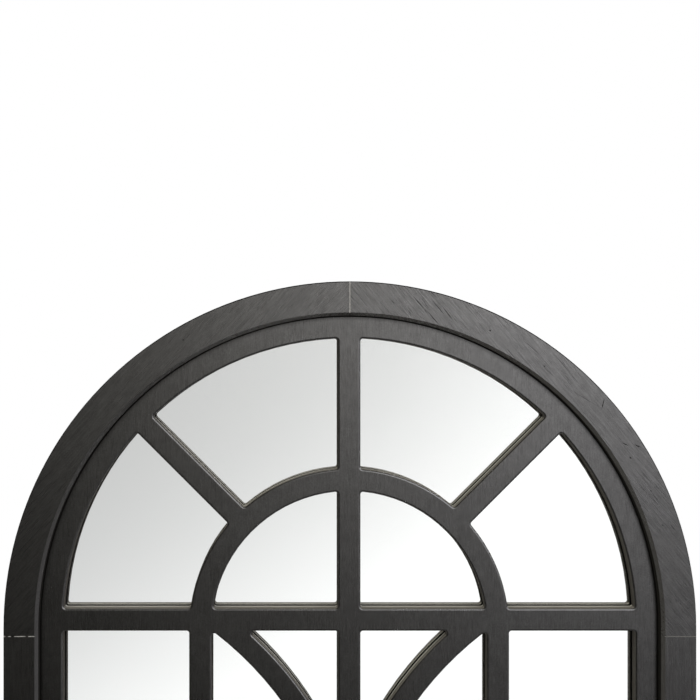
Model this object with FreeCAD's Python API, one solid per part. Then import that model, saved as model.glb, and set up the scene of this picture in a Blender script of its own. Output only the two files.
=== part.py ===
import FreeCAD, Part
import math
import os

from FreeCAD import Vector

# An arched window mirror that hangs on a wall. Millimetres.
# X runs across, Z up, and the front faces -Y. The origin is the middle of the
# bottom edge of the frame's back face, so the frame's back lies in the plane Y = 0.

# ---- overall ----
mirror_width = 812.8
mirror_height = 1117.6

# ---- wooden frame ----
frame_width = 40.0            # width of a member seen from the front, bevel included
bevel_width = 3.5             # bevel along the inner front edge
bevel_depth = 4.0
outer_edge_radius = 1.2       # rounded outer front edge
spring_drop = 10.0            # from the arch's centre down to the arch and stile joint
seam_width = 0.8              # fine V groove where two frame pieces meet
rebate_width = 10.0           # ledge that the lattice lies on
backing_ledge = 8.0           # wider step that the backing board lies on

# ---- layers, from the front to the back ----
lattice_setback = 12.0        # from the frame's front face to the lattice
lattice_thickness = 12.0
glass_thickness = 3.0
tape_thickness = 1.5
backing_thickness = 4.0
backing_recess = 0.5

# ---- lattice ----
rim_width = 27.0              # band that shows inside the frame
bar_width = 27.0              # every bar, ring and spoke
spring_bar_rise = 5.7         # springline bar above the arch's centre
fan_drop = 5.0                # centre of the half ring and spokes below the arch's centre
spoke_angle = 45.0            # from the horizontal
sweep_inset = 4.0             # lower arcs stop short of the centre line, inside the middle bar
pane_corner_radius = 3.0
lattice_edge_radius = 2.5
lattice_gap = 0.5             # around the lattice in its rebate
glass_gap = 1.5               # around the glass
backing_gap = 0.5             # around the backing board

# ---- foam tape behind the glass ----
tape_width = 25.0
tape_count = 3
tape_margin = 90.0            # from a strip's ends to the glass's edges

# ---- dowels ----
dowel_radius = 4.0
dowel_length = 40.0
dowel_inset = 8.0             # dowels' centres from the edges of the solid wood
dowel_cover = 8.0             # wood between the frame's front face and a dowel
corner_dowel_radius = 3.0
corner_dowel_length = 24.0
corner_dowel_pitch = 18.0     # along the mitre
dowel_chamfer = 1.0
dowel_fit = 0.05              # glue gap around a dowel
dowel_end_gap = 0.8

# ---- steel mending plates ----
plate_thickness = 2.0
plate_width = 15.0
plate_length = 70.0
corner_plate_leg = 60.0
plate_corner_radius = 2.5
plate_hole_inset = 8.0        # from a plate's end to its outer hole
plate_hole_pitch = 16.0
corner_hole_pitch = 32.0

# ---- countersunk screws ----
screw_radius = 1.6
screw_head_radius = 3.4
screw_length = 12.5
screw_tip = 4.0
screw_fit = 0.06              # around a screw in its hole
screw_end_gap = 0.8
recess_span = 4.2             # cross recess in a screw's head
recess_width = 0.9
recess_depth = 1.1
arch_screw_count = 6
stile_screw_count = 4
rail_screw_count = 4

# ---- hangers ----
hanger_drop = 75.0            # hinge of the D-ring below the arch and stile joint
strap_width = 12.0
strap_thickness = 1.2
strap_length = 46.0           # from the hinge down to the strap's end
strap_corner_radius = 4.0
strap_hole_inset = 7.0
strap_hole_pitch = 14.0
eye_width = 10.0
eye_lift = 0.4                # eye stands this far off the frame's back
ring_wire_radius = 1.3
ring_inner_width = 15.0
ring_reach = 17.0             # from the hinge to the ring's end, inside
ring_corner_radius = 3.0      # centre line of the ring's two upper corners
ring_running_gap = 0.08
pan_head_radius = 3.1
pan_head_top_radius = 1.9
pan_head_height = 2.0
pan_head_rim = 0.6            # height of the head's straight rim

# ---- rubber bumpers ----
bumper_radius = 6.5
bumper_tip_radius = 5.0
bumper_height = 6.0
bumper_edge_radius = 1.0
bumper_z = 95.0               # above the mirror's foot

# ---- worked out from the above ----
outer_radius = mirror_width / 2
opening_radius = outer_radius - frame_width
arch_centre_z = mirror_height - outer_radius
joint_z = arch_centre_z - spring_drop
rebate_radius = opening_radius + rebate_width
ledge_radius = rebate_radius + backing_ledge

backing_front_y = -backing_recess - backing_thickness
glass_back_y = backing_front_y - tape_thickness
glass_front_y = glass_back_y - glass_thickness
lattice_front_y = glass_front_y - lattice_thickness
frame_front_y = lattice_front_y - lattice_setback

pane_field_radius = opening_radius - rim_width
field_bottom_z = frame_width + rim_width
spring_bar_z = arch_centre_z + spring_bar_rise
fan_centre_z = arch_centre_z - fan_drop
middle_bar_z = (spring_bar_z + field_bottom_z - bar_width / 2) / 2
pane_width = (2 * pane_field_radius - 3 * bar_width) / 4
side_bar_x = pane_width + bar_width

back_band_width = outer_radius - ledge_radius
back_band_radius = outer_radius - back_band_width / 2
eye_outer_radius = ring_wire_radius + ring_running_gap + strap_thickness
hinge_y = eye_lift + eye_outer_radius
hinge_z = joint_z - hanger_drop

mitre_line = Vector(1, 0, -1).normalize()     # right mitre, from the opening outward
mitre_normal = Vector(1, 0, 1).normalize()


def mirrored(shape):
    """The same piece on the other side of the mirror's middle plane."""
    return shape.mirror(Vector(0, 0, 0), Vector(1, 0, 0))


def runs_along_y(edge):
    """Whether an edge goes from front to back."""
    box = edge.BoundBox
    return box.YLength > max(box.XLength, box.ZLength)


def polygon_face(points):
    """Flat face inside a closed polygon."""
    return Part.Face(Part.makePolygon(points + points[:1]))


def cylinder(start, direction, radius, length):
    return Part.makeCylinder(radius, length, start, direction)


def export(name, shape):
    shape.exportStep(os.path.join("parts", name + ".step"))


# ---- flat shapes, drawn in the plane of X and Y and then stood up ----

def rectangle(x_low, x_high, z_low, z_high):
    return polygon_face([
        Vector(x_low, z_low, 0),
        Vector(x_high, z_low, 0),
        Vector(x_high, z_high, 0),
        Vector(x_low, z_high, 0),
    ])


def disc(x, z, radius):
    circle = Part.makeCircle(radius, Vector(x, z, 0))
    return Part.Face(Part.Wire(circle))


def band(x, z, radius, width):
    """Flat ring whose middle line has the radius given."""
    return disc(x, z, radius + width / 2).cut(disc(x, z, radius - width / 2))


def arched(radius, bottom_z):
    """Straight sides and a flat foot under a half circle."""
    left_spring = Vector(-radius, arch_centre_z, 0)
    right_spring = Vector(radius, arch_centre_z, 0)
    crown = Vector(0, arch_centre_z + radius, 0)
    left_foot = Vector(-radius, bottom_z, 0)
    right_foot = Vector(radius, bottom_z, 0)
    edges = [
        Part.makeLine(left_foot, right_foot),
        Part.makeLine(right_foot, right_spring),
        Part.Arc(right_spring, crown, left_spring).toShape(),
        Part.makeLine(left_spring, left_foot),
    ]
    return Part.Face(Part.Wire(edges))


def stood_up(flat, back_y, thickness):
    """Solid sheet from a flat shape: its back at back_y, its front towards -Y."""
    sheet = flat.extrude(Vector(0, 0, thickness))
    sheet.rotate(Vector(0, 0, 0), Vector(1, 0, 0), 90)
    sheet.translate(Vector(0, back_y, 0))
    return sheet


# ---- wooden frame ----

def member_section(place):
    """Section of a frame member. place turns a distance outward from the opening
    and a depth into a point in space."""
    step = rebate_width + backing_ledge
    round_centre = frame_width - outer_edge_radius
    round_middle = outer_edge_radius * (1 - math.sqrt(0.5))
    corners = [
        (frame_width, frame_front_y + outer_edge_radius),
        (frame_width, 0),
        (step, 0),
        (step, backing_front_y),
        (rebate_width, backing_front_y),
        (rebate_width, lattice_front_y),
        (0, lattice_front_y),
        (0, frame_front_y + bevel_depth),
        (bevel_width, frame_front_y),
        (round_centre, frame_front_y),
    ]
    points = [place(outward, depth) for outward, depth in corners]
    rounding = Part.Arc(
        points[-1],
        place(frame_width - round_middle, frame_front_y + round_middle),
        points[0],
    ).toShape()
    edges = [Part.makeLine(a, b) for a, b in zip(points, points[1:])]
    return Part.Face(Part.Wire(edges + [rounding]))


def upright_section(z):
    """Section of the right-hand member, in a level plane."""
    return member_section(lambda outward, y: Vector(opening_radius + outward, y, z))


def seam(start, direction):
    """V groove across the front of a joint, from the opening outward."""
    side = seam_width / math.sqrt(2)
    length = 2 * frame_width
    groove = Part.makeBox(side, side, length, Vector(-side / 2, -side / 2, -bevel_width))
    groove.rotate(Vector(0, 0, 0), Vector(0, 0, 1), 45)
    turn = FreeCAD.Rotation(Vector(0, 0, 1), direction)
    groove.Placement = FreeCAD.Placement(start, turn).multiply(groove.Placement)
    return groove


def seams():
    """Grooves over the crown, spring and mitre joints of the right half."""
    return [
        seam(Vector(0, frame_front_y, arch_centre_z + opening_radius), Vector(0, 0, 1)),
        seam(Vector(opening_radius, frame_front_y, joint_z), Vector(1, 0, 0)),
        seam(Vector(opening_radius, frame_front_y, frame_width), mitre_line),
    ]


def arch_blank():
    """Right quarter arch with the short straight piece below its springline."""
    quarter = upright_section(arch_centre_z).revolve(
        Vector(0, 0, arch_centre_z), Vector(0, -1, 0), 90)
    leg = upright_section(joint_z).extrude(Vector(0, 0, spring_drop))
    return quarter.fuse(leg)


def stile_blank():
    """Right stile, mitred at its foot."""
    bar = upright_section(0).extrude(Vector(0, 0, joint_z))
    elevation = polygon_face([
        Vector(outer_radius, 0, 0),
        Vector(outer_radius, joint_z, 0),
        Vector(opening_radius, joint_z, 0),
        Vector(opening_radius, frame_width, 0),
    ])
    return bar.common(stood_up(elevation, 0, -frame_front_y))


def rail_blank():
    """Bottom rail, mitred at both ends."""
    section = member_section(
        lambda outward, y: Vector(-outer_radius, y, frame_width - outward))
    bar = section.extrude(Vector(mirror_width, 0, 0))
    elevation = polygon_face([
        Vector(-outer_radius, 0, 0),
        Vector(outer_radius, 0, 0),
        Vector(opening_radius, frame_width, 0),
        Vector(-opening_radius, frame_width, 0),
    ])
    return bar.common(stood_up(elevation, 0, -frame_front_y))


# ---- dowels: in the solid wood outside the rebate, clear of the screws from the back ----

dowel_y = frame_front_y + dowel_cover + dowel_radius
dowel_outward = [rebate_width + dowel_inset, frame_width - dowel_inset]


def crown_dowel_places():
    """Middle and direction of each dowel in the crown's joint."""
    return [
        (Vector(0, dowel_y, arch_centre_z + opening_radius + outward), Vector(1, 0, 0))
        for outward in dowel_outward
    ]


def spring_dowel_places():
    return [
        (Vector(opening_radius + outward, dowel_y, joint_z), Vector(0, 0, 1))
        for outward in dowel_outward
    ]


def corner_dowel_places():
    middle = Vector(outer_radius - frame_width / 2, dowel_y, frame_width / 2)
    return [
        (middle + mitre_line * (side * corner_dowel_pitch / 2), mitre_normal)
        for side in (-1, 1)
    ]


def peg(place, radius, length):
    """Cylinder through a place in a joint, as far into one piece as into the other."""
    middle, direction = place
    return cylinder(middle - direction * (length / 2), direction, radius, length)


def dowels(places, radius, length):
    """Dowels with chamfered ends."""
    pegs = []
    for place in places:
        body = peg(place, radius, length)
        rims = [edge for edge in body.Edges if isinstance(edge.Curve, Part.Circle)]
        pegs.append(body.makeChamfer(dowel_chamfer, rims))
    return Part.Compound(pegs)


def dowel_holes(places, radius, length):
    return [peg(place, radius + dowel_fit, length + 2 * dowel_end_gap) for place in places]


# ---- screws: each is turned about its own axis, with its head's top at y and its tip at -Y ----

def turned(profile, place):
    """Solid of revolution about the Y axis through place, from (radius, depth) pairs."""
    points = [Vector(radius, depth, 0) for radius, depth in profile]
    solid = polygon_face(points).revolve(Vector(0, 0, 0), Vector(0, 1, 0), 360)
    solid.translate(place)
    return solid


def cross_recess(place):
    """Two crossed slots sunk into a screw's head."""
    slots = []
    for size_x, size_z in ((recess_span, recess_width), (recess_width, recess_span)):
        corner = place - Vector(size_x / 2, recess_depth, size_z / 2)
        slots.append(Part.makeBox(size_x, 2 * recess_depth, size_z, corner))
    return slots[0].fuse(slots[1])


def flat_screw_profile(fit, end_gap):
    cone = screw_head_radius - screw_radius
    return [
        (0, 0),
        (screw_head_radius + fit, 0),
        (screw_radius + fit, -cone),
        (screw_radius + fit, -screw_length + screw_tip - end_gap),
        (0, -screw_length - end_gap),
    ]


def flat_screw(place):
    return turned(flat_screw_profile(0, 0), place).cut(cross_recess(place))


def flat_screw_hole(place):
    return turned(flat_screw_profile(screw_fit, screw_end_gap), place)


def pan_screw(place):
    """place is the middle of the face that the head bears on."""
    profile = [
        (0, pan_head_height),
        (pan_head_top_radius, pan_head_height),
        (pan_head_radius, pan_head_rim),
        (pan_head_radius, 0),
        (screw_radius, 0),
        (screw_radius, -screw_length + screw_tip),
        (0, -screw_length),
    ]
    top = place + Vector(0, pan_head_height, 0)
    return turned(profile, place).cut(cross_recess(top))


def pan_screw_hole(place):
    profile = [
        (0, 0),
        (screw_radius + screw_fit, 0),
        (screw_radius + screw_fit, -screw_length + screw_tip - screw_end_gap),
        (0, -screw_length - screw_end_gap),
    ]
    return turned(profile, place)


# ---- steel plates on the frame's back ----

plate_row = [
    side * (plate_length / 2 - plate_hole_inset - step * plate_hole_pitch)
    for side in (-1, 1)
    for step in (0, 1)
]
crown_plate_z = arch_centre_z + back_band_radius
corner_plate_x = back_band_radius
corner_plate_z = back_band_width / 2
corner_leg_row = [
    corner_plate_leg - plate_width / 2 - plate_hole_inset - step * corner_hole_pitch
    for step in (0, 1)
]


def back_screw_place(x, z):
    """A screw in a plate on the frame's back, flush with the plate."""
    return Vector(x, plate_thickness, z)


def crown_plate_screws():
    return [back_screw_place(step, crown_plate_z) for step in plate_row]


def spring_plate_screws():
    return [back_screw_place(back_band_radius, joint_z + step) for step in plate_row]


def corner_plate_screws():
    up = [back_screw_place(corner_plate_x, corner_plate_z + step) for step in corner_leg_row]
    along = [back_screw_place(corner_plate_x - step, corner_plate_z) for step in corner_leg_row]
    return up + along


def plate(x, z, size_x, size_z):
    """Plate with rounded corners, its middle at x and z."""
    flat = rectangle(x - size_x / 2, x + size_x / 2, z - size_z / 2, z + size_z / 2)
    slab = stood_up(flat, plate_thickness, plate_thickness)
    corners = [edge for edge in slab.Edges if runs_along_y(edge)]
    return slab.makeFillet(plate_corner_radius, corners)


def corner_plate():
    """Flat L over the right mitre."""
    half = plate_width / 2
    middle = corner_plate_leg / 2 - half
    upright = plate(corner_plate_x, corner_plate_z + middle, plate_width, corner_plate_leg)
    level = plate(corner_plate_x - middle, corner_plate_z, corner_plate_leg, plate_width)
    return upright.fuse(level).removeSplitter()


# ---- backing board and its screws ----

def backing_screw_places():
    """Screws through the backing board, in the middle of the ledge, all round it."""
    radius = rebate_radius + backing_ledge / 2
    y = -backing_recess
    places = []
    for step in range(arch_screw_count):
        angle = math.radians(180 * (step + 0.5) / arch_screw_count)
        places.append(Vector(
            radius * math.cos(angle), y, arch_centre_z + radius * math.sin(angle)))
    for step in range(stile_screw_count):
        z = frame_width + (arch_centre_z - frame_width) * (step + 0.5) / stile_screw_count
        places.append(Vector(-radius, y, z))
        places.append(Vector(radius, y, z))
    for step in range(rail_screw_count):
        x = opening_radius * (2 * (step + 0.5) / rail_screw_count - 1)
        places.append(Vector(x, y, frame_width - rebate_width - backing_ledge / 2))
    return places


def backing_board():
    flat = arched(
        ledge_radius - backing_gap,
        frame_width - rebate_width - backing_ledge + backing_gap)
    return stood_up(flat, -backing_recess, backing_thickness)


# ---- lattice, glass and tape ----

def lower_arc():
    """Centre distance and inner radius of a lower arc. Its inner edge passes through the
    upper corner of its column and comes within sweep_inset of the centre line."""
    run = side_bar_x - bar_width / 2 - sweep_inset
    rise = spring_bar_z - bar_width / 2 - middle_bar_z
    radius = (run ** 2 + rise ** 2) / (2 * run)
    return sweep_inset + radius, radius


def upright_bars():
    bars = []
    for x, top_z in (
            (-side_bar_x, spring_bar_z),
            (0, arch_centre_z + opening_radius),
            (side_bar_x, spring_bar_z)):
        bars.append(rectangle(x - bar_width / 2, x + bar_width / 2, frame_width, top_z))
    return bars


def level_bars():
    return [
        rectangle(-opening_radius, opening_radius, z - bar_width / 2, z + bar_width / 2)
        for z in (middle_bar_z, spring_bar_z)
    ]


def fan_bars():
    """Half ring over the springline bar and the two spokes that run out from it."""
    above = rectangle(-opening_radius, opening_radius, spring_bar_z,
                      spring_bar_z + opening_radius)
    bars = [band(0, fan_centre_z, side_bar_x, bar_width).common(above)]
    for angle in (spoke_angle, 180 - spoke_angle):
        spoke = rectangle(side_bar_x, opening_radius, -bar_width / 2, bar_width / 2)
        spoke.rotate(Vector(0, 0, 0), Vector(0, 0, 1), angle)
        spoke.translate(Vector(0, fan_centre_z, 0))
        bars.append(spoke)
    return bars


def lower_arc_bars():
    """One arc in each inner column. They lean together at the middle of the height."""
    distance, radius = lower_arc()
    bars = []
    for side in (-1, 1):
        column = rectangle(min(0, side * side_bar_x), max(0, side * side_bar_x),
                           frame_width, spring_bar_z)
        arc = band(side * distance, middle_bar_z, radius + bar_width / 2, bar_width)
        bars.append(arc.common(column))
    return bars


def rounded_pane(pane):
    """A pane's outline as the router leaves it, with round corners."""
    return pane.makeOffset2D(-pane_corner_radius).makeOffset2D(pane_corner_radius)


def panes():
    """Flat outlines of every opening in the lattice."""
    field = arched(pane_field_radius, field_bottom_z)
    bars = upright_bars() + level_bars() + fan_bars() + lower_arc_bars()
    return [rounded_pane(pane) for pane in field.cut(bars).Faces]


def lattice_panel():
    """Routed sheet with a rounded front edge around every pane."""
    outline = arched(rebate_radius - lattice_gap, frame_width - rebate_width + lattice_gap)
    sheet = stood_up(outline.cut(panes()), glass_front_y, lattice_thickness)
    pane_edges = []
    for edge in sheet.Edges:
        box = edge.BoundBox
        at_front = box.YMax < lattice_front_y + lattice_edge_radius
        inside = max(box.XMax, -box.XMin) < opening_radius
        if at_front and inside:
            pane_edges.append(edge)
    return sheet.makeFillet(lattice_edge_radius, pane_edges)


def mirror_glass():
    flat = arched(rebate_radius - glass_gap, frame_width - rebate_width + glass_gap)
    return stood_up(flat, glass_back_y, glass_thickness)


def mounting_tape():
    """Upright strips of foam tape between the glass and the backing board."""
    low = frame_width - rebate_width + tape_margin
    strips = []
    for step in range(tape_count):
        x = opening_radius * (2 * (step + 0.5) / tape_count - 1)
        reach = math.sqrt(rebate_radius ** 2 - (abs(x) + tape_width / 2) ** 2)
        flat = rectangle(x - tape_width / 2, x + tape_width / 2, low,
                         arch_centre_z + reach - tape_margin)
        strips.append(stood_up(flat, backing_front_y, tape_thickness))
    return Part.Compound(strips)


# ---- hangers and bumpers ----

def strap_screw_places():
    low = hinge_z - strap_length + strap_hole_inset
    return [
        Vector(back_band_radius, strap_thickness, z)
        for z in (low, low + strap_hole_pitch)
    ]


def hanger_strap():
    """Steel strap on the right stile, rolled into an eye around the ring's bar."""
    slab = Part.makeBox(
        strap_width, strap_thickness, strap_length,
        Vector(back_band_radius - strap_width / 2, 0, hinge_z - strap_length))
    foot = [edge for edge in slab.Edges
            if runs_along_y(edge) and edge.BoundBox.ZMax < hinge_z - strap_length / 2]
    slab = slab.makeFillet(strap_corner_radius, foot)
    start = Vector(back_band_radius - eye_width / 2, hinge_y, hinge_z)
    across = Vector(1, 0, 0)
    eye = cylinder(start, across, eye_outer_radius, eye_width)
    bore = cylinder(start, across, ring_wire_radius + ring_running_gap, eye_width)
    strap = slab.fuse(eye).cut(bore)
    return strap.cut([pan_screw_hole(place) for place in strap_screw_places()])


def ring_path():
    """Centre line of the hanging D-ring, seen from the back, its hinge at the origin."""
    half = ring_inner_width / 2 + ring_wire_radius
    corner = ring_corner_radius
    bend = corner * (1 - math.sqrt(0.5))
    end_z = -ring_reach - ring_wire_radius + half
    right_top = Vector(half - corner, 0, 0)
    right_side = Vector(half, 0, -corner)
    left_side = Vector(-half, 0, -corner)
    left_top = Vector(corner - half, 0, 0)
    right_end = Vector(half, 0, end_z)
    left_end = Vector(-half, 0, end_z)
    middle = Vector(0, 0, 0)
    return Part.Wire([
        Part.makeLine(middle, right_top),
        Part.Arc(right_top, Vector(half - bend, 0, -bend), right_side).toShape(),
        Part.makeLine(right_side, right_end),
        Part.Arc(right_end, Vector(0, 0, end_z - half), left_end).toShape(),
        Part.makeLine(left_end, left_side),
        Part.Arc(left_side, Vector(bend - half, 0, -bend), left_top).toShape(),
        Part.makeLine(left_top, middle),
    ])


def d_ring():
    section = Part.Wire(Part.makeCircle(ring_wire_radius, Vector(0, 0, 0), Vector(1, 0, 0)))
    ring = ring_path().makePipeShell([section], True, True)
    ring.translate(Vector(back_band_radius, hinge_y, hinge_z))
    return ring


def bumper():
    """Rubber bumper on the right stile's back."""
    start = Vector(back_band_radius, 0, bumper_z)
    cone = Part.makeCone(
        bumper_radius, bumper_tip_radius, bumper_height, start, Vector(0, 1, 0))
    rim = [edge for edge in cone.Edges if edge.BoundBox.YMin > bumper_height / 2]
    return cone.makeFillet(bumper_edge_radius, rim)


# ---- frame pieces, with the holes for everything that holds them together ----

def right_screw_places():
    """Flat screws of the right half: crown, spring and corner plates."""
    return crown_plate_screws() + spring_plate_screws() + corner_plate_screws()


def right_holes():
    straight = crown_dowel_places() + spring_dowel_places()
    holes = dowel_holes(straight, dowel_radius, dowel_length)
    holes += dowel_holes(corner_dowel_places(), corner_dowel_radius, corner_dowel_length)
    screws = right_screw_places() + backing_screw_places()
    holes += [flat_screw_hole(place) for place in screws]
    holes += [pan_screw_hole(place) for place in strap_screw_places()]
    return holes + seams()


def plate_screws():
    """All flat screws of the plates, on both sides."""
    crown = [flat_screw(place) for place in crown_plate_screws()]
    right = [flat_screw(place) for place in spring_plate_screws() + corner_plate_screws()]
    return Part.Compound(crown + right + [mirrored(screw) for screw in right])


def with_holes(shape, places):
    return shape.cut([flat_screw_hole(place) for place in places])


def build():
    holes = right_holes()
    arch = arch_blank().cut(holes)
    stile = stile_blank().cut(holes)
    rail = rail_blank().cut(holes + [mirrored(hole) for hole in holes])
    export("arch_right", arch)
    export("arch_left", mirrored(arch))
    export("stile_right", stile)
    export("stile_left", mirrored(stile))
    export("bottom_rail", rail)

    spring_dowels = dowels(spring_dowel_places(), dowel_radius, dowel_length)
    corner_dowels = dowels(
        corner_dowel_places(), corner_dowel_radius, corner_dowel_length)
    export("dowels_crown", dowels(crown_dowel_places(), dowel_radius, dowel_length))
    export("dowels_spring_right", spring_dowels)
    export("dowels_spring_left", mirrored(spring_dowels))
    export("dowels_corner_right", corner_dowels)
    export("dowels_corner_left", mirrored(corner_dowels))

    crown_plate = plate(0, crown_plate_z, plate_length, plate_width)
    spring_plate = with_holes(
        plate(back_band_radius, joint_z, plate_width, plate_length), spring_plate_screws())
    corner = with_holes(corner_plate(), corner_plate_screws())
    export("plate_crown", with_holes(crown_plate, crown_plate_screws()))
    export("plate_spring_right", spring_plate)
    export("plate_spring_left", mirrored(spring_plate))
    export("corner_plate_right", corner)
    export("corner_plate_left", mirrored(corner))
    export("plate_screws", plate_screws())

    export("lattice_panel", lattice_panel())
    export("mirror_glass", mirror_glass())
    export("mounting_tape", mounting_tape())
    export("backing_board", with_holes(backing_board(), backing_screw_places()))
    export("backing_screws", Part.Compound(
        [flat_screw(place) for place in backing_screw_places()]))

    strap = hanger_strap()
    strap_screws = [pan_screw(place) for place in strap_screw_places()]
    export("hanger_strap_right", strap)
    export("hanger_strap_left", mirrored(strap))
    export("hanger_screws", Part.Compound(
        strap_screws + [mirrored(screw) for screw in strap_screws]))
    export("d_ring_right", d_ring())
    export("d_ring_left", mirrored(d_ring()))
    export("bumper_right", bumper())
    export("bumper_left", mirrored(bumper()))


os.makedirs("parts", exist_ok=True)
build()
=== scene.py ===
import math

import bmesh
import bpy
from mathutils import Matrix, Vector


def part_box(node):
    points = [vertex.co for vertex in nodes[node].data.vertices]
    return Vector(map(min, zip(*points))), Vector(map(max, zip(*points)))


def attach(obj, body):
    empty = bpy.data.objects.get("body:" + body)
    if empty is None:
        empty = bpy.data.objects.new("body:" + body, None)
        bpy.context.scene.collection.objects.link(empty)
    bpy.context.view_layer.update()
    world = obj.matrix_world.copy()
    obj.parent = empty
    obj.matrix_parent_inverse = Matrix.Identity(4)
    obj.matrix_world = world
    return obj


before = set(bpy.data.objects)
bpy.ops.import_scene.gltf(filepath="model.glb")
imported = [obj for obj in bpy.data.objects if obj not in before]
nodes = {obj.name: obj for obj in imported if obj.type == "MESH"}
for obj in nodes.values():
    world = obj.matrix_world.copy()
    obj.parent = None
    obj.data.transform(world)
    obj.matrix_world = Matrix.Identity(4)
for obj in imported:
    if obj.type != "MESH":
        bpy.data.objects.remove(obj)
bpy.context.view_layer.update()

# An arched window mirror: black painted wood in front of a plain mirror. Metres.
# X runs across, Z up, the front faces -Y, and the mirror's foot stands at Z = 0.

scene = bpy.context.scene

# ---- places on the mirror ----
FRAME_FRONT_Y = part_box("stile_left")[0].y
SPRING_JOINT_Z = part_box("stile_left")[1].z
ARCH_CENTRE_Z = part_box("arch_right")[1].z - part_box("stile_right")[1].x
OPENING_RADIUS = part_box("stile_right")[0].x
LATTICE_FRONT_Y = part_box("lattice_panel")[0].y
LATTICE_BACK_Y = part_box("lattice_panel")[1].y

# ---- view ----
IMAGE_WIDTH = 700
FOCAL_PIXELS = 912.8
AXIS_PIXEL = (287.0, 335.0)          # where the camera's axis meets the image
CAMERA_X = -0.07375
CAMERA_Z = 1.0546
CAMERA_TO_LATTICE = 1.082
SENSOR_MM = 36.0
CLIP_START = 0.01
CAMERA_TILT = math.radians(90)       # level, along +Y

# ---- studio ----
WALL_LOW = 0.53                      # darkest part of the wall that the mirror shows
WALL_ACROSS = 1.2                    # how fast that wall brightens to the right
WALL_DOWN = 1.8                      # and downwards
WALL_START = 0.143                   # where it starts to
WALL_SOFT = 0.15                     # and how gently
LEAST_AHEAD = 0.3                    # keeps the wall finite for rays that leave sideways
MIRROR_LOSS = 0.92                   # share of the light that glass and silver give back
STUDIO_LEVEL = 0.66                  # what lights matt colours
STUDIO_ACROSS = 0.35                 # the studio's light grows to the right
STUDIO_UP = 0.6                      # and upwards
SHEEN_PEAK = 10.8                    # bright patch that only glossy reflections see
SHEEN_X = 0.46                       # its middle, as a direction
SHEEN_Z = 0.34
SHEEN_WIDTH = 0.50
SHEEN_HEIGHT = 0.42
SHEEN_FRONT = (-0.25, -0.65)         # it comes from in front: where it fades, in Y
SIDE_LIGHT = 0.9                     # what bevels and rounded edges pick up from the sides
SIDE_LEAN = 0.2                      # more of it on the right
SIDE_DROP = 0.5                      # and from below
SIDE_FRONT = (-0.75, -0.2)           # and none from straight ahead
BEHIND = 0.15                        # share of both that comes from behind the mirror
BEHIND_SPAN = (-0.35, 0.35)
MIRROR_DEPTH = 4.5                   # more bounces than a ray makes that only the mirror turned
NO_BOUNCE = 0.5                      # fewer than one
STUDIO_TINT_LEFT = (1.0, 0.965, 0.87, 1.0)
STUDIO_TINT_RIGHT = (1.0, 0.985, 1.01, 1.0)
TINT_SPAN = (-0.4, 0.5)
WHITE = (1.0, 1.0, 1.0, 1.0)
FLOOR_RADIUS = 2.6
FLOOR_FADE = (0.8, 1.5)              # from floor to white, by distance from the mirror's foot
FLOOR_COLOURS = ((0.78, 0.775, 0.765, 1.0), (0.80, 0.795, 0.785, 1.0))
FLOOR_GRIT = 30.0
FLOOR_STEPS = 96

# ---- silvering ----
SILVER_THICKNESS = 0.00004
SILVER_DEPTH = 0.00001               # of glass left behind the silver
ARCH_STEPS = 96


# ---- shader building ----

def wire(tree, socket, value):
    """Feed an input from another node, or set its plain value."""
    if isinstance(value, bpy.types.NodeSocket):
        tree.links.new(value, socket)
    else:
        socket.default_value = value


def shader(tree, kind, inputs=None, **settings):
    """A node with its inputs fed and its settings made."""
    node = tree.nodes.new("ShaderNode" + kind)
    for name, value in settings.items():
        setattr(node, name, value)
    for name, value in (inputs or {}).items():
        wire(tree, node.inputs[name], value)
    return node


def calc(tree, operation, *values, clamp=False):
    node = shader(tree, "Math", operation=operation, use_clamp=clamp)
    for socket, value in zip(node.inputs, values):
        wire(tree, socket, value)
    return node.outputs[0]


def span(tree, value, low, high, to_low=0.0, to_high=1.0):
    """value between low and high, carried smoothly to another range."""
    node = shader(tree, "MapRange", {
        "Value": value, "From Min": low, "From Max": high,
        "To Min": to_low, "To Max": to_high}, interpolation_type="SMOOTHSTEP")
    return node.outputs["Result"]


def blend(tree, share, first, second):
    node = shader(tree, "Mix", {"Factor": share, "A": first, "B": second}, data_type="FLOAT")
    return node.outputs["Result"]


def blend_colours(tree, share, first, second):
    node = shader(tree, "MixRGB", {"Fac": share, "Color1": first, "Color2": second})
    return node.outputs["Color"]


def position(tree):
    """Place on the mirror, in metres."""
    return shader(tree, "TexCoord").outputs["Object"]


def position_parts(tree):
    return shader(tree, "SeparateXYZ", {"Vector": position(tree)}).outputs


def stretched(tree, turn, size):
    """Coordinates turned about Y and measured in cells of the size given."""
    node = shader(tree, "Mapping", {
        "Vector": position(tree),
        "Rotation": (0.0, turn, 0.0),
        "Scale": size}, vector_type="TEXTURE")
    return node.outputs["Vector"]


def noise(tree, place, scale=1.0, detail=2.0, roughness=0.5):
    node = shader(tree, "TexNoise", {
        "Vector": place, "Scale": scale, "Detail": detail, "Roughness": roughness})
    return node.outputs[0]


def cells(tree, place, scale=1.0):
    """Distance to the nearest of many scattered points."""
    node = shader(tree, "TexVoronoi", {"Vector": place, "Scale": scale})
    return node.outputs["Distance"]


def material_with_surface(name, **values):
    material = bpy.data.materials.new(name)
    material.use_nodes = True
    tree = material.node_tree
    surface = tree.nodes["Principled BSDF"]
    for socket, value in values.items():
        surface.inputs[socket.replace("_", " ")].default_value = value
    return material, tree, surface


def raise_surface(tree, surface, height):
    """Bump from a height in metres."""
    bump = shader(tree, "Bump", {"Height": height, "Distance": 1.0, "Strength": 1.0})
    wire(tree, surface.inputs["Normal"], bump.outputs["Normal"])


def two_tone(tree, surface, share, colours):
    """Base colour that runs between two."""
    wire(tree, surface.inputs["Base Color"], blend_colours(tree, share, *colours))


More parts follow.
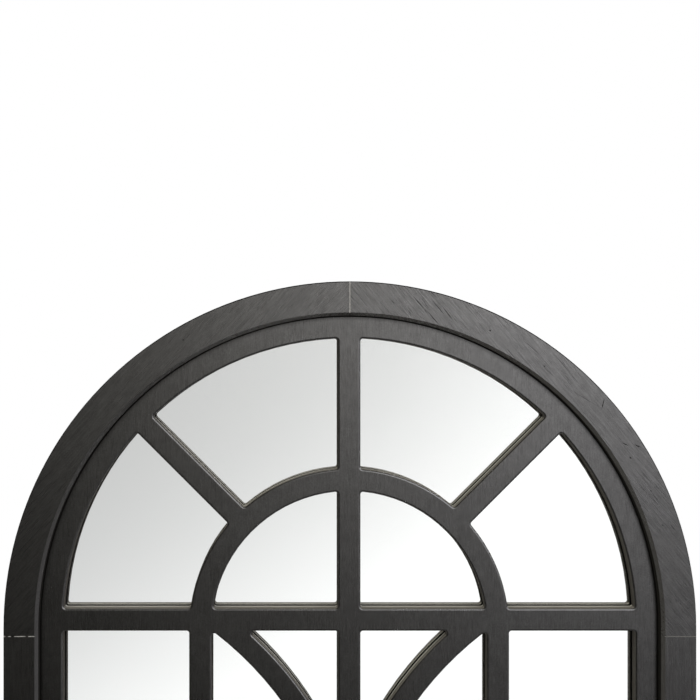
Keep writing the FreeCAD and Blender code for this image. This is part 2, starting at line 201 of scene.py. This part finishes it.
def add_up(tree, first, *others):
    total = first
    for other in others:
        total = calc(tree, "ADD", total, other)
    return total


def weighted(tree, layers, shares, base=0.0):
    """The named layers added up, each times its share, and a base."""
    terms = [calc(tree, "MULTIPLY", layers[name], share) for name, share in shares.items()]
    return add_up(tree, *terms, base)


def normal_parts(tree):
    normal = shader(tree, "NewGeometry").outputs["Normal"]
    return shader(tree, "SeparateXYZ", {"Vector": normal}).outputs


def slope(tree):
    """1 on faces square to the front, 0 on faces that run from front to back."""
    return calc(tree, "ABSOLUTE", normal_parts(tree)["Y"])


def sideways(tree):
    """1 on the sides of a bar or member, 0 on its front face."""
    return span(tree, slope(tree), *SIDE_SLOPE)


def faces_inwards(tree):
    """1 where the surface looks towards the middle of the arch."""
    middle = shader(tree, "VectorMath", {
        0: position(tree), 1: (0.0, 0.0, ARCH_CENTRE_Z)}, operation="SUBTRACT")
    normal = shader(tree, "NewGeometry").outputs["Normal"]
    outward = shader(tree, "VectorMath", {
        0: middle.outputs["Vector"], 1: normal}, operation="DOT_PRODUCT").outputs["Value"]
    return calc(tree, "LESS_THAN", outward, 0.0)


def opening_sides(tree):
    """1 on the sides of the frame that look into its opening."""
    return calc(tree, "MULTIPLY", sideways(tree), faces_inwards(tree))


def opening_bevel(tree):
    """1 on the frame's slanted edge round its opening."""
    steep = slope(tree)
    slanted = calc(tree, "MULTIPLY", span(tree, steep, *BEVEL_TOP), span(tree, steep, *BEVEL_FOOT))
    return calc(tree, "MULTIPLY", slanted, faces_inwards(tree))


def outer_edge(tree):
    """1 on the rounded outer edge of the frame."""
    return calc(tree, "MULTIPLY", span(tree, slope(tree), *EDGE_SLOPE),
                calc(tree, "SUBTRACT", 1.0, faces_inwards(tree)))


def band_of(tree, value, half_width):
    """1 where value is within half_width of nought, with a soft edge."""
    return span(tree, calc(tree, "ABSOLUTE", value), half_width, BAND_CORE * half_width)


# ---- black paint ----

PAINT_COLOURS = ((0.0038, 0.0037, 0.0034, 1.0), (0.0096, 0.0093, 0.0086, 1.0))
PAINT_ROUGHNESS = 0.28
PAINT_SHEEN = 0.5
PANE_SIDE_PAINTED_SHEEN = (0.105, 0.10, 0.091, 1.0)  # sides of the panes: painted sheen, lighter than the paint, in place of their reflections
# sides of the frame's opening: painted sheen, a little lighter than the paint
OPENING_SIDE_PAINTED_SHEEN = (0.024, 0.023, 0.021, 1.0)
# the frame's bevel round its opening: painted sheen, lighter than the paint
BEVEL_PAINTED_SHEEN = (0.028, 0.027, 0.026, 1.0)
LEDGE_PAINTED_TOP_LIGHT = (0.27, 0.257, 0.226, 1.0)      # sides that look up: tan, painted light from above
LEDGE_PAINTED_REFLECTION = (0.96, 0.94, 0.85, 1.0)         # and near the glass, nearly white: painted reflection
JOINT_COLOUR = (0.54, 0.535, 0.515, 1.0)     # filler in the joints of the frame
JOINT_HALF_WIDTH = 0.00065
JOINT_DEPTH = 0.0006                         # no filler lies deeper
JOINT_BREAKS = 300.0                         # scale of the gaps in the left joint's filler
JOINT_BREAK_SPAN = (0.40, 0.62)
FAINT_JOINT = 0.4                            # the right spring joint shows less
CONTACT_SHADE_WIDTH = 0.007                        # strip of lattice beside the frame with less sheen: painted shade
CONTACT_SHADE_SHARE = 0.5
CONTACT_SHADOW_LINE = 0.0024                        # and its painted shadow line right beside the frame
GLASS_SHADE_WIDTH = 0.0018                          # painted shade at the end of the pane's sides, at the glass
# how far from the glass the ledges' painted reflection reaches
LEDGE_REFLECTION_WIDTH = 0.005

# Where a face's slope starts and stops to count as one of these.
SIDE_SLOPE = (0.72, 0.32)
BEVEL_TOP = (0.85, 0.75)
BEVEL_FOOT = (0.3, 0.45)
EDGE_SLOPE = (0.98, 0.90)
LEDGE_RISE = (0.3, 0.8)                      # how far a side looks up
GRAZING = (0.45, 0.75)                       # seen so flat that the sheen is gone
BAND_CORE = 0.4                              # share of a line's width that is at its full

# Sizes of the patterns: length along the grain and width across it, or a noise scale, and
# where the noise's value starts and stops to count.
WOOD_FIBRE = (0.05, 0.0014, 0.0014)
WOOD_FIBRE_HEIGHT = 0.00009
LATTICE_FIBRE = (0.03, 0.0010, 0.0010)
LATTICE_FIBRE_HEIGHT = 0.00004
GRAIN = (0.013, 0.0013, 0.0013)
FIGURE = (0.16, 0.011, 0.011)
CRACK = (0.11, 0.0042, 0.0042)
CRACK_LINE = 0.012                           # half width of a crack, in the noise's value
CRACK_PATCHES = 26.0
CRACK_PATCH_SPAN = (0.46, 0.62)
HAZE = 9.0
GRIT = 700.0
SPECKLE_SPAN = (0.66, 0.78)
MOTTLE = 110.0
MARK_EDGE = (1.0, 0.3)                       # a mark fades between these, of its half size
CRACK_WEAR = 0.5                             # how much a crack counts, against a scratch
FAINT_WEAR = 0.45                            # and a faint line

# What relief (in metres), tone, roughness and sheen are mixed from.
HEIGHT_SHARES = {"figure": 0.00010, "dent": -0.00010, "crack": -0.00005, "speckle": 0.00002}
TONE_SHARES = {"fibre": 0.55, "figure": 0.35, "worn": -0.8, "pale": 2.0, "speckle": 0.6}
ROUGH_SHARES = {"haze": 0.12, "fibre": 0.08, "worn": 0.25}
SHEEN_SHARES = {"mottle": 0.20, "fibre": 0.20, "grit": 0.30}

# Each member's grain: turn below the X axis, how much of the cracks shows, share of the
# grain in the sheen.
UPRIGHT = math.radians(90)
MEMBERS = {
    "arch_left": (math.radians(-48), 0.15, 0.30),
    "arch_right": (math.radians(50), 0.8, 0.38),
    "stile_left": (UPRIGHT, 0.2, 0.25),
    "stile_right": (UPRIGHT, 0.2, 0.25),
    "bottom_rail": (0.0, 0.3, 0.25),
}
LATTICE_GRAIN = (UPRIGHT, 0.0, 0.30)

# Marks in the paint: middle in X and Z, length, width, turn below the X axis.
SCRATCHES = (
    (0.0804, 1.0927, 0.024, 0.0012, 49),
    (0.0974, 1.0745, 0.026, 0.0012, 49),
    (0.1033, 1.0868, 0.030, 0.0010, 50),
    (0.1144, 1.0798, 0.026, 0.0012, 53),
    (0.2966, 0.9735, 0.017, 0.0012, 104),
    (0.3230, 0.9262, 0.010, 0.0016, 23),
    (0.3377, 0.9242, 0.011, 0.0016, 24),
)
PALE_SCRATCHES = (
    (0.0962, 1.0845, 0.016, 0.0012, 48),
    (0.1100, 1.0850, 0.022, 0.0010, 52),
    (0.3240, 0.9246, 0.008, 0.0012, 23),
    (-0.3584, 0.8632, 0.0026, 0.0018, 0),
    (-0.3559, 0.8389, 0.0024, 0.0018, 0),
    (-0.3218, 0.8891, 0.0022, 0.0016, 0),
)
FAINT_LINES = (
    (0.2121, 1.0405, 0.030, 0.0011, 41),
    (0.2345, 1.0101, 0.018, 0.0011, 45),
    (0.2480, 1.0218, 0.032, 0.0011, 50),
    (0.2638, 1.0024, 0.019, 0.0011, 48),
    (0.2740, 0.9809, 0.049, 0.0011, 31),
)
PITS = (
    (0.1642, 1.0597, 0.0030, 0.0022, 55),
    (0.2280, 1.0178, 0.0026, 0.0022, 40),
    (0.3288, 0.9104, 0.0030, 0.0026, 30),
    (0.3529, 0.8717, 0.0024, 0.0018, 30),
    (0.3663, 0.8314, 0.0030, 0.0018, 35),
    (-0.1957, 1.0487, 0.0026, 0.0020, -40),
)


def marks(tree, places):
    """1 in the middle of each mark, fading to its edge."""
    total = 0.0
    for x, z, length, width, turn in places:
        local = shader(tree, "Mapping", {
            "Vector": position(tree),
            "Location": (x, 0.0, z),
            "Rotation": (0.0, math.radians(turn), 0.0),
            "Scale": (length / 2, 1.0, width / 2)}, vector_type="TEXTURE")
        away = shader(tree, "VectorMath", {0: local.outputs["Vector"]}, operation="LENGTH")
        total = calc(tree, "ADD", span(tree, away.outputs["Value"], *MARK_EDGE), total)
    return total


def hairlines(tree, turn):
    """Fine cracks that follow the grain, in some places only."""
    run = noise(tree, stretched(tree, turn, CRACK), detail=1.0)
    line = band_of(tree, calc(tree, "SUBTRACT", run, 0.5), CRACK_LINE)
    patches = noise(tree, position(tree), scale=CRACK_PATCHES, detail=1.0)
    return calc(tree, "MULTIPLY", line, span(tree, patches, *CRACK_PATCH_SPAN))


def shade_beside_frame(tree):
    """1 on the lattice where it meets the frame's sides, where taking the sheen away paints shade.
    """
    parts = position_parts(tree)
    rise = calc(tree, "MAXIMUM", calc(tree, "SUBTRACT", parts["Z"], ARCH_CENTRE_Z), 0.0)
    flat = shader(tree, "CombineXYZ", {"X": parts["X"], "Y": 0.0, "Z": rise})
    reach = shader(tree, "VectorMath", {0: flat.outputs["Vector"]}, operation="LENGTH")
    near = calc(tree, "SUBTRACT", OPENING_RADIUS, reach.outputs["Value"])
    soft = calc(tree, "MULTIPLY", span(tree, near, CONTACT_SHADE_WIDTH, 0.0), CONTACT_SHADE_SHARE)
    return calc(tree, "MAXIMUM", soft, span(tree, near, CONTACT_SHADOW_LINE, CONTACT_SHADOW_LINE / 2))


def joint_filler(tree, name):
    """1 on the pale filler that shows in the crown's joint and the spring joints."""
    parts = position_parts(tree)
    line = band_of(tree, calc(tree, "SUBTRACT", parts["Z"], SPRING_JOINT_Z), JOINT_HALF_WIDTH)
    if name.endswith("left"):
        breaks = noise(tree, position(tree), scale=JOINT_BREAKS, detail=2.0)
        line = calc(tree, "MULTIPLY", line, span(tree, breaks, *JOINT_BREAK_SPAN))
    else:
        line = calc(tree, "MULTIPLY", line, FAINT_JOINT)
    if name.startswith("arch"):
        crown = band_of(tree, parts["X"], JOINT_HALF_WIDTH)
        line = calc(tree, "MAXIMUM", line, crown)
    shallow = calc(tree, "LESS_THAN", parts["Y"], FRAME_FRONT_Y + JOINT_DEPTH)
    return calc(tree, "MULTIPLY", line, shallow)


def crown_notch(tree):
    """1 on the open gap where the crown's joint crosses the bevel."""
    parts = position_parts(tree)
    deep = calc(tree, "GREATER_THAN", parts["Y"], FRAME_FRONT_Y + JOINT_DEPTH)
    return calc(tree, "MULTIPLY", band_of(tree, parts["X"], 2 * JOINT_HALF_WIDTH), deep)


def from_glass(tree):
    """How far a place on the lattice lies in front of the lattice's back."""
    return calc(tree, "SUBTRACT", LATTICE_BACK_Y, position_parts(tree)["Y"])


def paint_layers(tree, turn, fibre, cracks):
    """The patterns that a painted piece's relief, tone, roughness and sheen are mixed from."""
    grit = noise(tree, position(tree), scale=GRIT, detail=1.0)
    crack = calc(tree, "MULTIPLY", hairlines(tree, turn), cracks)
    dent = calc(tree, "ADD", marks(tree, SCRATCHES + PITS),
                calc(tree, "MULTIPLY", marks(tree, FAINT_LINES), FAINT_WEAR))
    return {
        "fibre": noise(tree, stretched(tree, turn, fibre), detail=3.0, roughness=0.6),
        "grain": noise(tree, stretched(tree, turn, GRAIN), detail=2.0),
        "figure": noise(tree, stretched(tree, turn, FIGURE), detail=2.0),
        "haze": noise(tree, position(tree), scale=HAZE, detail=3.0),
        "mottle": noise(tree, position(tree), scale=MOTTLE, detail=3.0),
        "grit": grit,
        "speckle": span(tree, grit, *SPECKLE_SPAN),
        "crack": crack,
        "dent": dent,
        "worn": calc(tree, "ADD", dent, calc(tree, "MULTIPLY", crack, CRACK_WEAR)),
        "pale": marks(tree, PALE_SCRATCHES),
    }


def paint_colour(tree, name, layers, side, side_painted_sheen):
    """Near black on the front; painted sheen on the sides and bevel, painted light on the ledges,
    painted shade where the sides meet the glass, and filler in the joints.
    """
    tone = calc(tree, "ADD", weighted(tree, layers, TONE_SHARES), 0.0, clamp=True)
    colour = blend_colours(tree, tone, *PAINT_COLOURS)
    # The sides take a lighter colour of their own, a painted sheen, since they get no real sheen.
    colour = blend_colours(tree, side, colour, side_painted_sheen)
    # Sides that look up are lighter: painted light from above, and a nearly white painted
    # reflection near the glass.
    looks_up = span(tree, normal_parts(tree)["Z"], *LEDGE_RISE)
    reflection_near_glass = span(tree, from_glass(tree), LEDGE_REFLECTION_WIDTH, LEDGE_REFLECTION_WIDTH / 2)
    ledge_light = blend_colours(tree, reflection_near_glass, LEDGE_PAINTED_TOP_LIGHT, LEDGE_PAINTED_REFLECTION)
    colour = blend_colours(tree, calc(tree, "MULTIPLY", side, looks_up), colour, ledge_light)
    # Painted shade where the pane's sides meet the glass.
    at_glass = span(tree, from_glass(tree), GLASS_SHADE_WIDTH, GLASS_SHADE_WIDTH / 2)
    glass_shade = calc(tree, "MULTIPLY", side, at_glass)
    colour = blend_colours(tree, glass_shade, colour, PAINT_COLOURS[0])
    if name != "lattice":
        # The bevel's lighter colour is a painted sheen.
        colour = blend_colours(tree, opening_bevel(tree), colour, BEVEL_PAINTED_SHEEN)
        colour = blend_colours(tree, joint_filler(tree, name), colour, JOINT_COLOUR)
    return colour


def without_sheen(tree, name, side, worn):
    """1 where the paint gets no sheen: on sides and marks, seen almost from the side, and on the
    outer edge and beside the frame, where this paints shade.
    """
    painted_shade = shade_beside_frame(tree) if name == "lattice" else outer_edge(tree)
    dull = calc(tree, "MAXIMUM", side, painted_shade)
    if name.startswith("arch"):
        dull = calc(tree, "MAXIMUM", dull, crown_notch(tree))
    dull = calc(tree, "MAXIMUM", dull, calc(tree, "MINIMUM", worn, 1.0))
    facing = shader(tree, "LayerWeight", {"Blend": 0.5}).outputs["Facing"]
    return calc(tree, "MAXIMUM", dull, span(tree, facing, *GRAZING))


def black_paint(name, grain, fibre, fibre_height, sides, side_painted_sheen):
    """Satin black paint over wood or board."""
    turn, cracks, grain_share = grain
    material, tree, surface = material_with_surface("paint_" + name)
    layers = paint_layers(tree, turn, fibre, cracks)
    raise_surface(tree, surface,
                  weighted(tree, layers, {"fibre": fibre_height, **HEIGHT_SHARES}))
    side = sides(tree)
    wire(tree, surface.inputs["Base Color"],
         paint_colour(tree, name, layers, side, side_painted_sheen))
    rough_base = PAINT_ROUGHNESS - (ROUGH_SHARES["haze"] + ROUGH_SHARES["fibre"]) / 2
    wire(tree, surface.inputs["Roughness"], weighted(tree, layers, ROUGH_SHARES, rough_base))
    shares = {**SHEEN_SHARES, "grain": grain_share}
    even = weighted(tree, layers, shares, PAINT_SHEEN - sum(shares.values()) / 2)
    shiny = calc(tree, "SUBTRACT", 1.0, without_sheen(tree, name, side, layers["worn"]))
    wire(tree, surface.inputs["Specular IOR Level"], calc(tree, "MULTIPLY", even, shiny))
    return material


# ---- the other finishes ----

GLASS_COLOUR = (0.985, 0.995, 0.99, 1.0)     # the socket's own value, under the smudges
GLASS_COLOURS = ((0.98, 0.992, 0.986, 1.0), (0.995, 1.0, 0.997, 1.0))
SILVER_COLOURS = ((0.955, 0.96, 0.955, 1.0), (0.975, 0.98, 0.975, 1.0))
BOARD_COLOURS = ((0.17, 0.105, 0.055, 1.0), (0.42, 0.29, 0.175, 1.0))
BOARD_SHARES = {"fibres": 0.7, "clouds": 0.4, "chips": -0.3}
BOARD_RELIEF = 0.00012
BEECH_COLOURS = ((0.48, 0.32, 0.18, 1.0), (0.72, 0.55, 0.36, 1.0))
BEECH_GRAIN = (0.01, 0.0006, 0.0006)
BEECH_FLECK = (0.002, 0.0004, 0.0004)
BEECH_RELIEF = 0.00005
ZINC_COLOURS = ((0.50, 0.51, 0.52, 1.0), (0.72, 0.72, 0.70, 1.0))
ZINC_ROLLED = (0.02, 0.0005, 0.0005)
ZINC_ROUGHNESS = 0.2
ZINC_ROUGH_SHARES = {"rolled": 0.2, "spangle": 0.12}
ZINC_RELIEF = 0.00002
FOAM_COLOURS = ((0.62, 0.62, 0.59, 1.0), (0.86, 0.86, 0.83, 1.0))
FOAM_RELIEF = 0.0001
RUBBER_COLOURS = ((0.018, 0.018, 0.018, 1.0), (0.045, 0.045, 0.044, 1.0))
RUBBER_RELIEF = 0.00006


def clear_glass():
    material, tree, surface = material_with_surface(
        "clear_glass", Base_Color=GLASS_COLOUR, Transmission_Weight=1.0,
        Roughness=0.0, IOR=1.5)
    two_tone(tree, surface, noise(tree, position(tree), scale=14.0), GLASS_COLOURS)
    return material


def silvering():
    material, tree, surface = material_with_surface(
        "silvering", Metallic=1.0, Roughness=0.0)
    two_tone(tree, surface, noise(tree, position(tree), scale=6.0), SILVER_COLOURS)
    return material


def fibreboard():
    material, tree, surface = material_with_surface("fibreboard", Roughness=0.78)
    layers = {
        "fibres": noise(tree, position(tree), scale=420.0, detail=4.0, roughness=0.7),
        "clouds": noise(tree, position(tree), scale=14.0, detail=3.0),
        "chips": cells(tree, position(tree), scale=260.0),
    }
    tone = calc(tree, "ADD", weighted(tree, layers, BOARD_SHARES), 0.0, clamp=True)
    two_tone(tree, surface, tone, BOARD_COLOURS)
    raise_surface(tree, surface, calc(tree, "MULTIPLY", layers["fibres"], BOARD_RELIEF))
    return material


def beech():
    material, tree, surface = material_with_surface("beech", Roughness=0.6)
    grain = noise(tree, stretched(tree, 0.0, BEECH_GRAIN), detail=3.0)
    flecks = noise(tree, stretched(tree, 0.0, BEECH_FLECK), detail=1.0)
    two_tone(tree, surface, grain, BEECH_COLOURS)
    raise_surface(tree, surface, calc(tree, "MULTIPLY", flecks, BEECH_RELIEF))
    return material


def zinc():
    material, tree, surface = material_with_surface("zinc", Metallic=1.0)
    spangle = noise(tree, position(tree), scale=900.0)
    rolled = noise(tree, stretched(tree, 0.0, ZINC_ROLLED))
    two_tone(tree, surface, spangle, ZINC_COLOURS)
    wire(tree, surface.inputs["Roughness"], weighted(
        tree, {"rolled": rolled, "spangle": spangle}, ZINC_ROUGH_SHARES, ZINC_ROUGHNESS))
    raise_surface(tree, surface, calc(tree, "MULTIPLY", rolled, ZINC_RELIEF))
    return material


def foam():
    material, tree, surface = material_with_surface("foam", Roughness=0.9)
    pores = cells(tree, position(tree), scale=1400.0)
    two_tone(tree, surface, pores, FOAM_COLOURS)
    raise_surface(tree, surface, calc(tree, "MULTIPLY", pores, FOAM_RELIEF))
    return material


def rubber():
    material, tree, surface = material_with_surface("rubber", Roughness=0.62)
    skin = noise(tree, position(tree), scale=1100.0)
    two_tone(tree, surface, skin, RUBBER_COLOURS)
    raise_surface(tree, surface, calc(tree, "MULTIPLY", skin, RUBBER_RELIEF))
    return material


# ---- giving every piece its finish ----

def finish_with(piece, material):
    piece.data.materials.clear()
    piece.data.materials.append(material)


def finish_nodes():
    """One finish for each of the mirror's pieces."""
    for name, grain in MEMBERS.items():
        finish_with(nodes[name], black_paint(
            name, grain, WOOD_FIBRE, WOOD_FIBRE_HEIGHT, opening_sides, OPENING_SIDE_PAINTED_SHEEN))
    finish_with(nodes["lattice_panel"], black_paint(
        "lattice", LATTICE_GRAIN, LATTICE_FIBRE, LATTICE_FIBRE_HEIGHT,
        sideways, PANE_SIDE_PAINTED_SHEEN))
    finish_with(nodes["mirror_glass"], clear_glass())
    finish_with(nodes["backing_board"], fibreboard())
    finish_with(nodes["mounting_tape"], foam())
    shared = (
        ("dowels", beech()),
        ("bumper", rubber()),
        (("plate", "corner_plate", "hanger", "d_ring", "backing_screws"), zinc()))
    for name in nodes:
        for starts, material in shared:
            if name.startswith(starts):
                finish_with(nodes[name], material)


# ---- silvering behind the glass ----

def arch_outline(half_width, foot_z, top_z):
    """Points of an arched outline, from the left foot round to the right foot."""
    centre_z = top_z - half_width
    points = [(-half_width, foot_z)]
    for step in range(ARCH_STEPS + 1):
        angle = math.pi * (1 - step / ARCH_STEPS)
        points.append((half_width * math.cos(angle), centre_z + half_width * math.sin(angle)))
    points.append((half_width, foot_z))
    return points


def sheet_mesh(name, outline, front_y, back_y):
    """Thin solid sheet of an outline given in X and Z."""
    mesh = bmesh.new()
    front = [mesh.verts.new((x, front_y, z)) for x, z in outline]
    back = [mesh.verts.new((x, back_y, z)) for x, z in outline]
    mesh.faces.new(front)
    mesh.faces.new(back[::-1])
    for step in range(len(outline)):
        following = (step + 1) % len(outline)
        mesh.faces.new((front[following], front[step], back[step], back[following]))
    bmesh.ops.recalc_face_normals(mesh, faces=mesh.faces)
    data = bpy.data.meshes.new(name)
    mesh.to_mesh(data)
    mesh.free()
    piece = bpy.data.objects.new(name, data)
    scene.collection.objects.link(piece)
    return piece


def add_silvering():
    low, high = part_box("mirror_glass")
    outline = arch_outline(high.x, low.z, high.z)
    back_y = high.y - SILVER_DEPTH
    piece = sheet_mesh("mirror_silvering", outline, back_y - SILVER_THICKNESS, back_y)
    finish_with(piece, silvering())
    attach(piece, "root")


# ---- studio ----

def seen_in_mirror(tree, path):
    """1 for a ray from the camera that only the mirror has turned round."""
    clean = calc(tree, "MULTIPLY", path.outputs["Is Singular Ray"],
                 calc(tree, "SUBTRACT", 1.0, path.outputs["Is Camera Ray"]))
    short = calc(tree, "LESS_THAN", path.outputs["Ray Depth"], MIRROR_DEPTH)
    return calc(tree, "MULTIPLY", clean, short)


def mirrored_wall(tree, x, y, z):
    """Strength of the wall that the mirror shows, which brightens to the lower right."""
    ahead = calc(tree, "MAXIMUM", calc(tree, "MULTIPLY", y, -1.0), LEAST_AHEAD)
    across = calc(tree, "MULTIPLY", calc(tree, "DIVIDE", x, ahead), WALL_ACROSS)
    down = calc(tree, "MULTIPLY", calc(tree, "DIVIDE", z, ahead), -WALL_DOWN)
    lift = calc(tree, "SUBTRACT", calc(tree, "ADD", across, down), WALL_START)
    swell = calc(tree, "EXPONENT", calc(tree, "DIVIDE", lift, WALL_SOFT))
    ramp = calc(tree, "LOGARITHM", calc(tree, "ADD", swell, 1.0), math.e)
    wall = calc(tree, "ADD", calc(tree, "MULTIPLY", ramp, WALL_SOFT), WALL_LOW)
    return calc(tree, "DIVIDE", calc(tree, "MINIMUM", wall, 1.0), MIRROR_LOSS)


def sheen_light(tree, x, y, z):
    """Strength of what glossy reflections see: a bright patch up on the right in front, and
    a weaker light from the sides."""
    aside = calc(tree, "DIVIDE", calc(tree, "SUBTRACT", x, SHEEN_X), SHEEN_WIDTH)
    above = calc(tree, "DIVIDE", calc(tree, "SUBTRACT", z, SHEEN_Z), SHEEN_HEIGHT)
    away = calc(tree, "ADD", calc(tree, "MULTIPLY", aside, aside),
                calc(tree, "MULTIPLY", above, above))
    lobe = calc(tree, "EXPONENT", calc(tree, "MULTIPLY", away, -1.0))
    lobe = calc(tree, "MULTIPLY", lobe, span(tree, y, *SHEEN_FRONT))
    side_lean = add_up(tree, calc(tree, "MULTIPLY", x, SIDE_LEAN),
                       calc(tree, "MULTIPLY", z, -SIDE_DROP), 1.0)
    from_sides = calc(tree, "MULTIPLY", span(tree, y, *SIDE_FRONT), side_lean)
    sheen = add_up(tree, calc(tree, "MULTIPLY", lobe, SHEEN_PEAK),
                   calc(tree, "MULTIPLY", from_sides, SIDE_LIGHT))
    return calc(tree, "MULTIPLY", sheen, span(tree, y, *BEHIND_SPAN, 1.0, BEHIND))


def studio_world():
    """White behind the mirror, a pale wall in the mirror, and for matt colours a soft studio
    that is brighter up on the right. Glossy reflections see the sheen light instead."""
    world = bpy.data.worlds.new("studio")
    scene.world = world
    world.use_nodes = True
    tree = world.node_tree
    tree.nodes.clear()
    direction = shader(tree, "TexCoord").outputs["Generated"]
    x, y, z = shader(tree, "SeparateXYZ", {"Vector": direction}).outputs
    lean = add_up(tree, calc(tree, "MULTIPLY", x, STUDIO_ACROSS),
                  calc(tree, "MULTIPLY", z, STUDIO_UP), 1.0)
    soft = calc(tree, "MULTIPLY", lean, STUDIO_LEVEL)

    path = shader(tree, "LightPath")
    from_camera = path.outputs["Is Camera Ray"]
    in_mirror = seen_in_mirror(tree, path)
    direct = calc(tree, "LESS_THAN", path.outputs["Diffuse Depth"], NO_BOUNCE)
    from_sheen = calc(tree, "MULTIPLY", path.outputs["Is Glossy Ray"], direct)
    strength = blend(tree, from_sheen, soft, sheen_light(tree, x, y, z))
    strength = blend(tree, in_mirror, strength, mirrored_wall(tree, x, y, z))
    strength = blend(tree, from_camera, strength, 1.0)
    tint = blend_colours(tree, span(tree, x, *TINT_SPAN), STUDIO_TINT_LEFT, STUDIO_TINT_RIGHT)
    shown_plain = calc(tree, "MAXIMUM", in_mirror, from_camera)
    colour = blend_colours(tree, shown_plain, tint, WHITE)
    background = shader(tree, "Background", {"Color": colour, "Strength": strength})
    output = shader(tree, "OutputWorld")
    wire(tree, output.inputs["Surface"], background.outputs["Background"])


def floor_finish():
    """Pale floor that fades into white, and that neither glass nor paint reflects."""
    material, tree, surface = material_with_surface("floor", Roughness=0.8)
    grit = noise(tree, position(tree), scale=FLOOR_GRIT, detail=3.0)
    two_tone(tree, surface, grit, FLOOR_COLOURS)
    away = shader(tree, "VectorMath", {0: position(tree)}, operation="LENGTH").outputs["Value"]
    path = shader(tree, "LightPath")
    seen = calc(tree, "MULTIPLY", span(tree, away, *FLOOR_FADE), path.outputs["Is Camera Ray"])
    white = shader(tree, "Emission", {"Color": WHITE, "Strength": 1.0})
    clear = shader(tree, "BsdfTransparent")
    mixed = shader(tree, "MixShader", {
        0: seen, 1: surface.outputs["BSDF"], 2: white.outputs["Emission"]})
    reflected = calc(tree, "MAXIMUM", seen_in_mirror(tree, path), path.outputs["Is Glossy Ray"])
    whole = shader(tree, "MixShader", {
        0: reflected, 1: mixed.outputs["Shader"], 2: clear.outputs["BSDF"]})
    output = tree.nodes["Material Output"]
    wire(tree, output.inputs["Surface"], whole.outputs["Shader"])
    return material


def add_floor():
    mesh = bmesh.new()
    bmesh.ops.create_circle(mesh, cap_ends=True, radius=FLOOR_RADIUS, segments=FLOOR_STEPS)
    data = bpy.data.meshes.new("floor")
    mesh.to_mesh(data)
    mesh.free()
    floor = bpy.data.objects.new("floor", data)
    scene.collection.objects.link(floor)
    finish_with(floor, floor_finish())


def add_camera():
    data = bpy.data.cameras.new("camera")
    data.sensor_width = SENSOR_MM
    data.lens = FOCAL_PIXELS / IMAGE_WIDTH * SENSOR_MM
    data.shift_x = 0.5 - AXIS_PIXEL[0] / IMAGE_WIDTH
    data.shift_y = AXIS_PIXEL[1] / IMAGE_WIDTH - 0.5
    data.clip_start = CLIP_START
    camera = bpy.data.objects.new("camera", data)
    camera.location = (CAMERA_X, LATTICE_FRONT_Y - CAMERA_TO_LATTICE, CAMERA_Z)
    camera.rotation_euler = (CAMERA_TILT, 0.0, 0.0)
    scene.collection.objects.link(camera)
    scene.camera = camera


finish_nodes()
add_silvering()
studio_world()
add_floor()
add_camera()
scene.view_settings.view_transform = "Standard"
